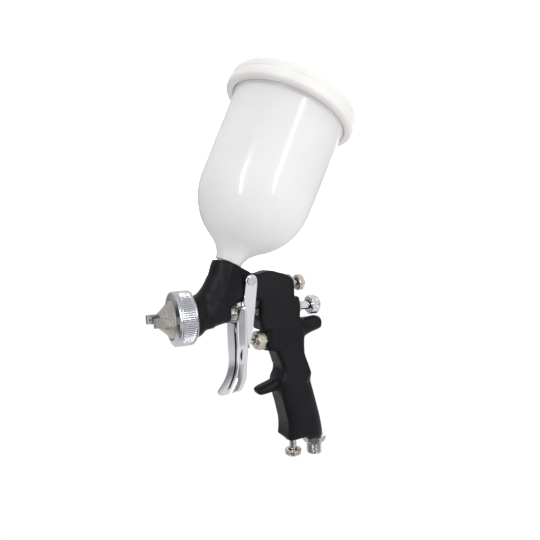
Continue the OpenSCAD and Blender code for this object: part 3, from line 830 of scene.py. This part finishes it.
def small_knob(name, radius, height, matrix, material, body, node):
    """A knurled knob with a recess round its screw."""
    outline = rounded([(1.62, 2), (4.3, 2), (4.3, 0), (radius - 0.5, 0), (radius, 0.5),
                       (radius, height - 0.9), (radius - 0.9, height), (1.62, height)], 0.25)
    teeth = rim_only(knurled(0.5, height - 0.9, 26, 0.5), radius - 0.6)
    knob = lathe(name, densify(outline, 0.5), matrix, material, 312, teeth, smooth_angle=28)
    settle(knob, body, "nickel", node)


small_knob("fan_knob_shell", 6.7, 5.2, along_x(FAN_KNOB_X, FAN_Z), NICKEL_FAN, "fan_control", "fan_knob")
small_knob("air_flow_knob_shell", 7.0, 4.9, downwards(FLOW_X, FLOW_KNOB_Z), NICKEL_FLOW,
           "air_control", "air_flow_knob")

NUT = [(2.0, 37.8), (4.95, 37.8), (4.95, 46.75), (5.4, 46.75), (6.35, 47.4), (6.35, 52.8), (5.5, 53.5),
       (4.4, 53.5), (4.4, 54.4), (4.2, 54.6), (2.0, 54.6)]
settle(lathe("packing_nut_shell", densify(NUT, 0.7), along_x(), NICKEL_X, 192, hexed(11), smooth_angle=25),
       "gun", "nickel", "packing_nut")
VALVE = [(2.06, 68.7), (4.7, 68.6), (5.2, 69.1), (5.2, 70.25), (7.0, 70.25), (8.25, 71.1), (8.25, 77.45),
         (7, 77.45), (7, 91), (4.4, 91), (4.4, 78), (2.06, 78)]
settle(lathe("air_valve_shell", densify(VALVE, 0.8), along_x(0, VALVE_Z), NICKEL_VALVE, 192, hexed(14.4),
             smooth_angle=25), "gun", "nickel", "air_valve_body")

INLET = [(3.4, -10), (4.9, -10), (4.9, 0.6), (8.2, 0.6), (9.6, 1.1), (10.2, 1.6), (10.2, 4.2),
         (9.2, 5.5), (8.2, 5.75), (5.75, 5.75), (5.75, 6.9), (6.05, 7.1), (6.5785, 7.6),
         (6.5785, 15.3), (5.9, 16.15), (5.4, 16.2), (3.4, 14.3)]
INLET_HEX = hexed(18)
THREAD_LOW, THREAD_HIGH = 7.3, 15.8
THREAD_PITCH = 1.337
THREAD_DEPTH = 0.85
THREAD_RUNOUT = 0.8


def inlet_shape(r, z, a):
    """The inlet's hexagon, and its outer thread below it."""
    q = INLET_HEX(r, z, a)
    if r > 6 and THREAD_LOW < z < THREAD_HIGH:
        turn = (z / THREAD_PITCH + a / (2 * math.pi)) % 1
        fade = ease((z - THREAD_LOW) / THREAD_RUNOUT) * ease((THREAD_HIGH - z) / THREAD_RUNOUT)
        q -= THREAD_DEPTH * (1 - abs(2 * turn - 1)) * fade
    return q


settle(lathe("air_inlet_shell", densify(INLET, 0.18), downwards(INLET_X, INLET_FACE), SILVER_INLET, 144,
             inlet_shape, smooth_angle=50), "gun", "nickel", "air_inlet")


# ---------------------------------------------------------------- trigger

SHEET = 2.0           # thickness of the trigger's plate
RIM_BULGE = 0.72      # how far its rim bulges out
EAR_MID = 12.6        # from the middle plane to the middle of an ear
WEB_TOP = -7.0        # top of the blade's middle
TIP_Z = -64.0
BLADE_FRONT = 48.1
HOLLOW_Z = -36        # the blade's front is straight down to here, and then curls forward
SIDE_TOP, SIDE_LOW = (59.0, -8), (56, -48)   # X and Z of the rear edge's straight stretch


def face_point(u, v, t):
    """The blade's outer face, or the inner one t mm inside it: u across, v down."""
    top = mix(WEB_TOP, 5, ease((abs(u) - 0.5) / 0.32))
    low = mix(TIP_Z, TIP_Z + 3.4, ease(abs(u)))
    z = mix(top, low, v)
    front = BLADE_FRONT if z > HOLLOW_Z else BLADE_FRONT - 11.7 * ((HOLLOW_Z - z) / 28) ** 2.4
    half = mix(11.4, EAR_MID + 0.6, ease((z + 40) / 16)) - t
    if z > SIDE_TOP[1]:
        side = SIDE_TOP[0]
    elif z > SIDE_LOW[1]:
        side = mix(SIDE_TOP[0], SIDE_LOW[0], (SIDE_TOP[1] - z) / 40)
    else:
        side = SIDE_LOW[0] - 8.4 * ((SIDE_LOW[1] - z) / 16) ** 1.8
    angle = u * math.pi / 2
    bend = 1 - max(math.cos(angle), 0) ** 0.62
    out = half * math.copysign(abs(math.sin(angle)) ** 0.8, u)
    return np.array((front + t + (side - front - t) * bend, out, z))


def blade(across=72, down=72, rim_steps=4):
    """Points and faces of the blade: an outer and an inner face, joined by a rounded rim."""
    row = across + 1
    us = [2 * i / across - 1 for i in range(row)]
    vs = [j / down for j in range(down + 1)]
    outer = [[face_point(u, v, 0) for u in us] for v in vs]
    inner = [[face_point(u, v, SHEET) for u in us] for v in vs]
    verts = [tuple(p) for sheet in (outer, inner) for line in sheet for p in line]
    size = row * (down + 1)
    faces = []
    for j in range(down):
        for i in range(across):
            a = j * row + i
            faces.append((a, a + 1, a + row + 1, a + row))
            faces.append((size + a, size + a + row, size + a + row + 1, size + a + 1))
    rim = ([(0, i) for i in range(row)] + [(j, across) for j in range(1, down + 1)]
           + [(down, i) for i in range(across - 1, -1, -1)] + [(j, 0) for j in range(down - 1, 0, -1)])
    strips = []
    for j, i in rim:
        inward = outer[min(max(j, 1), down - 1)][min(max(i, 1), across - 1)]
        out = outer[j][i] - inward
        out = out / (np.linalg.norm(out) + 1e-9)
        a, b = outer[j][i], inner[j][i]
        strip = [j * row + i]
        for k in range(1, rim_steps):
            t = k / rim_steps
            strip.append(len(verts))
            verts.append(tuple(mix(a, b, t) + out * RIM_BULGE * math.sin(math.pi * t)))
        strip.append(size + j * row + i)
        strips.append(strip)
    for here, after in zip(strips, strips[1:] + strips[:1]):
        for k in range(rim_steps):
            faces.append((here[k], here[k + 1], after[k + 1], after[k]))
    return verts, faces


settle(add_mesh("trigger_blade", *blade(), spray(), CHROME, 60), "trigger_arm", "chrome", "trigger")

EAR = curve([(57.8, 24.5), (56.6, 17), (55.5, 10), (56.6, 4), (57.0, -8), (57.2, -20), (58.3, -27.0)],
            4) + curve([(58.9, -27.4), (60, -23), (63, -9), (65.6, 8), (67.6, 22)], 4)
CROWN_LOW = 23    # the ear's edges end here, and its round crown begins
CROWN_RADIUS = 5
CROWN = [(PIVOT[0] + CROWN_RADIUS * math.cos(math.radians(a)),
          PIVOT[1] + CROWN_RADIUS * math.sin(math.radians(a))) for a in range(-8, 189, 7)]
outline = [(x, z) for x, z in EAR if z < CROWN_LOW] + CROWN
for side, name in ((-1, "near"), (1, "far")):
    turn = spray() @ Matrix(((0, 1, 0, 0), (1, 0, 0, side * EAR_MID), (0, 0, 1, 0), (0, 0, 0, 1)))
    ear = bar(f"trigger_ear_{name}", outline, SHEET, turn, CHROME, 0.5)
    eye = (spray(*PIVOT) @ Matrix.Translation((0, side * EAR_MID - 4, 0))
           @ Matrix.Rotation(-math.pi / 2, 4, "X"))
    settle(drilled(ear, (eye, 2.6, 8)), "trigger_arm", "chrome")
fork = rounded([(-12.4, -9), (12.4, -9), (12.4, 3), (2, 3), (2, -3), (-2, -3), (-2, 3), (-12.4, 3)], 0.6, 2)
settle(bar("trigger_fork", fork, 2, spray(57.4), STEEL, 0.3), "trigger_arm", "chrome")


def coil_spring(name, place, radius, wire, length, turns):
    """A wire wound back along X from a place in the spray frame."""
    steps = 36
    sides = 10
    count = turns * steps
    verts = []
    for i in range(count + 1):
        a = 2 * math.pi * i / steps
        z = wire + (length - 2 * wire) * i / count
        for k in range(sides):
            b = 2 * math.pi * k / sides
            q = radius + wire * math.cos(b)
            verts.append((q * math.cos(a), q * math.sin(a), z + wire * math.sin(b)))
    ends = [tuple(range(sides)), tuple(range(count * sides, (count + 1) * sides))]
    wound = add_mesh(name + "_wire", verts, ring_quads(count + 1, sides) + ends, along_x(*place), STEEL)
    settle(wound, "gun", "steel", name)
    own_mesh(wound)


coil_spring("needle_spring", (86.3, 0), radius=3.9, wire=0.45, length=17.4, turns=7)
coil_spring("air_valve_spring", (95.8, VALVE_Z), radius=3.3, wire=0.4, length=12, turns=5)


# ---------------------------------------------------------------- cup and lid

# Heights along the cup's axis, from the neck's mouth
CUP_TOP = 145.0
LID_LOW = 132.6
LID_TOP = 151.0
SPOUT_TOP = 17       # the spout flares into the bowl below this
BOWL_TOP = 61        # the bowl is widest here, and then nearly straight
WALL = 2.2


def bowl(h):
    """Radius of the cup's round bottom."""
    return 46.3 * math.sqrt(max(1 - ((BOWL_TOP - h) / 51) ** 2, 0))


def cup_outer(h):
    """Radius of the cup's outside."""
    if h < SPOUT_TOP:
        return 10.84 + (bowl(SPOUT_TOP) - 10.84) * (max(h, 0) / SPOUT_TOP) ** 2.1
    if h < BOWL_TOP:
        return bowl(h)
    return mix(46.3, 47.6, (h - BOWL_TOP) / 69)


# close together in the spout, wider apart up the bowl and up the wall
wall_heights = ([0.3 + 0.7 * k for k in range(24)] + [17.5 + 1.5 * k for k in range(30)]
                + [62 + 4 * k for k in range(18)])
outside = [(cup_outer(h), h) for h in wall_heights]
inside = [(max(cup_outer(h) - WALL, 7), h + 0.6) for h in reversed(wall_heights)]
spigot = rounded([(6.6, -14), (8.1, -14), (8.45, -13.6), (8.45, 0.3)], 0.2, 2, closed=False)
rim = [(47.6, 131), (48.5, 132), (48.6, 133), (48.6, CUP_TOP - 0.4), (48.2, CUP_TOP), (45.8, CUP_TOP),
       (45.4, CUP_TOP - 0.4)]
CUP = spigot[1:] + outside + rim + inside + [(6.6, 2)]
settle(lathe("cup_shell", CUP, cup_frame(), CUP_PLASTIC, 224, smooth_angle=45),
       "cup_set", "cup_plastic", "cup")

LID = rounded([(49, LID_LOW), (53.5, LID_LOW), (55.5, LID_LOW + 2), (55.5, LID_LOW + 7.5),
               (54.7, LID_LOW + 8.6), (55.2, LID_LOW + 10), (54.6, LID_TOP - 4), (51.5, LID_TOP - 0.2),
               (40, LID_TOP + 0.4), (9, LID_TOP + 1.6), (3, LID_TOP + 1.6), (3, LID_TOP + 5.4),
               (1.2, LID_TOP + 5.4), (1.2, LID_TOP - 3), (40, LID_TOP - 3.8), (49, LID_TOP - 4)], 1.4, 5)
settle(lathe("lid_shell", densify(LID, 2.5), cup_frame(), LID_PLASTIC, 224, smooth_angle=50),
       "lid_set", "lid_plastic", "lid")

VENT = rounded([(0.01, LID_TOP + 6.3), (3.05, LID_TOP + 6.3), (3.05, LID_TOP + 1.9), (5.4, LID_TOP + 1.9),
                (6, LID_TOP + 2.5), (6, LID_TOP + 5.9), (5, LID_TOP + 7.1), (0.01, LID_TOP + 7.1)], 0.4, 4)
vent_ribs = rim_only(knurled(LID_TOP + 2.6, LID_TOP + 5.8, 18, 0.45), 5.6)
settle(lathe("vent_shell", densify(VENT, 0.5), cup_frame(), VENT_PLASTIC, 216, vent_ribs, smooth_angle=35),
       "vent", "lid_plastic", "vent_cap")


# ---------------------------------------------------------------- studio

MIDDLE = Vector((-0.04, 0, 0.15))
GLOW = (0.6, 0.6, 0.62)
SHADE = (0.02, 0.02, 0.022)


def stage_material(name, colour, emission=None, strength=0.0):
    """A dull, nearly even surface; with an emission colour and a strength it also glows."""
    mat, tree, shader = nodes_of(name)
    cloud = noise(tree, object_point(tree), 3, 2)
    tree.links.new(blend_colours(tree, cloud, tuple(0.995 * c for c in colour), colour),
                   shader.inputs["Base Color"])
    shader.inputs["Roughness"].default_value = 0.9
    shader.inputs["Specular IOR Level"].default_value = 0.1
    if strength:
        shader.inputs["Emission Color"].default_value = (*emission, 1)
        shader.inputs["Emission Strength"].default_value = strength
    return mat


def point_at(thing, centre, aim, front):
    """Puts a card or a lamp at centre, its front axis towards aim."""
    thing.location = centre
    thing.rotation_mode = "QUATERNION"
    thing.rotation_quaternion = (Vector(aim) - Vector(centre)).to_track_quat(front, "Y")


def panel(name, centre, aim, width, height, colour=SHADE, strength=0.0):
    """A card facing aim that only reflections see: it glows with a strength, and shades without one."""
    w, h = width / 2, height / 2
    card = new_mesh(name, [(-w, -h, 0), (w, -h, 0), (w, h, 0), (-w, h, 0)], [(0, 1, 2, 3)],
                    stage_material(name + "_face", colour, colour, strength))
    point_at(card, centre, aim, "Z")
    card.visible_camera = False
    card.visible_shadow = False
    card.visible_diffuse = False


def softbox(name, centre, width, height, power):
    """A rectangular lamp aimed at the middle of the gun."""
    light = bpy.data.lights.new(name, "AREA")
    light.shape = "RECTANGLE"
    light.size = width
    light.size_y = height
    light.energy = power
    lamp = new_object(name, light)
    point_at(lamp, centre, MIDDLE, "-Z")
    lamp.visible_camera = False
    return lamp


def round_sweep():
    """White paper: a floor under the gun that curves up to a wall all round it."""
    bends = 24
    sides = 64
    floor_radius, wall_radius, wall_height = 2.2, 4.2, 7.0
    turn = wall_radius - floor_radius
    outline = []
    for k in range(bends + 1):
        angle = k / bends * math.pi / 2
        outline.append((floor_radius + turn * math.sin(angle), turn - turn * math.cos(angle)))
    outline.append((wall_radius, wall_height))
    angles = [2 * math.pi * k / sides for k in range(sides)]
    verts = [(r * math.cos(a), r * math.sin(a), z) for r, z in outline for a in angles]
    paper = stage_material("sweep_paper", (0.93, 0.93, 0.93), (1, 1, 1), 1.0)
    sweep = new_mesh("sweep", verts, [tuple(range(sides))] + ring_quads(len(outline), sides), paper)
    sweep.data.shade_smooth()
    sweep.location.z = -0.002   # just below the gun
    sweep.visible_diffuse = False
    sweep.visible_glossy = False
    sweep.visible_shadow = False


def studio_world():
    """Light from all round, with a dark band at the horizon for the chrome to mirror."""
    world = bpy.data.worlds.new("studio")
    bpy.context.scene.world = world
    world.use_nodes = True
    sky = world.node_tree
    direction = sky.nodes.new("ShaderNodeTexCoord").outputs["Generated"]
    height = sky.nodes.new("ShaderNodeSeparateXYZ")
    sky.links.new(direction, height.inputs["Vector"])
    level = new_node(sky, "ShaderNodeMapRange", **{"From Min": -1})
    sky.links.new(height.outputs["Z"], level.inputs["Value"])
    ramp = sky.nodes.new("ShaderNodeValToRGB")
    sky.links.new(level.outputs["Result"], ramp.inputs["Fac"])
    ramp.color_ramp.elements[0].color = (0.9, 0.9, 0.9, 1)
    ramp.color_ramp.elements[1].color = (0.84, 0.84, 0.85, 1)
    for place, tone in ((0.36, 0.82), (0.455, 0.24), (0.54, 0.3), (0.7, 0.8)):
        ramp.color_ramp.elements.new(place).color = (tone, tone, 1.03 * tone, 1)
    sky.links.new(ramp.outputs["Color"], sky.nodes["Background"].inputs["Color"])
    sky.nodes["Background"].inputs["Strength"].default_value = 1


def photo_camera():
    """The photo's view: from in front of the gun and to its side, level with the cup's neck."""
    lens = bpy.data.cameras.new("photo_view")
    lens.lens = 34.34
    lens.sensor_width = 36
    lens.clip_start = 0.01
    lens.clip_end = 30
    camera = new_object("photo_view", lens)
    camera.location = (-0.2310, -0.3788, 0.1917)
    camera.rotation_euler = [math.radians(angle) for angle in (86.11, 2.063, -27.209)]
    bpy.context.scene.camera = camera
    bpy.context.scene.view_settings.view_transform = "Standard"


round_sweep()
softbox("key", (-1.0, -1.1, 1.5), 1.1, 1.1, 13).visible_glossy = False
softbox("top", (-0.1, 0.1, 1.9), 1.2, 1.2, 3).visible_glossy = False
softbox("fill", (0.9, -1.2, 0.12), 0.9, 0.9, 9.5).visible_glossy = False
softbox("rim", (1.3, 0.9, 0.7), 0.9, 0.9, 5)
softbox("strip_left", (-1.2, -0.9, 0.75), 0.16, 1.0, 9).visible_diffuse = False
softbox("strip_front", (0.2, -1.5, 0.6), 0.14, 1.0, 6).visible_diffuse = False
panel("glow_right", (0.48, -1.08, 0.15), (-0.06, 0, 0.14), 0.5, 0.8, GLOW, 0.62)
panel("glow_left", (-1.0, -0.3, 0.1), (-0.07, 0, 0.1), 0.22, 0.9, GLOW, 0.9)
panel("dark_behind", (-0.75, 0.3, 0.1), (-0.07, 0, 0.1), 0.3, 0.9)
panel("dark_low", (-0.45, -0.35, -0.4), (-0.07, 0, 0.1), 0.9, 0.5)
panel("dark_top", (-0.5, -0.3, 0.75), (-0.07, 0, 0.13), 0.5, 0.12)
studio_world()
photo_camera()
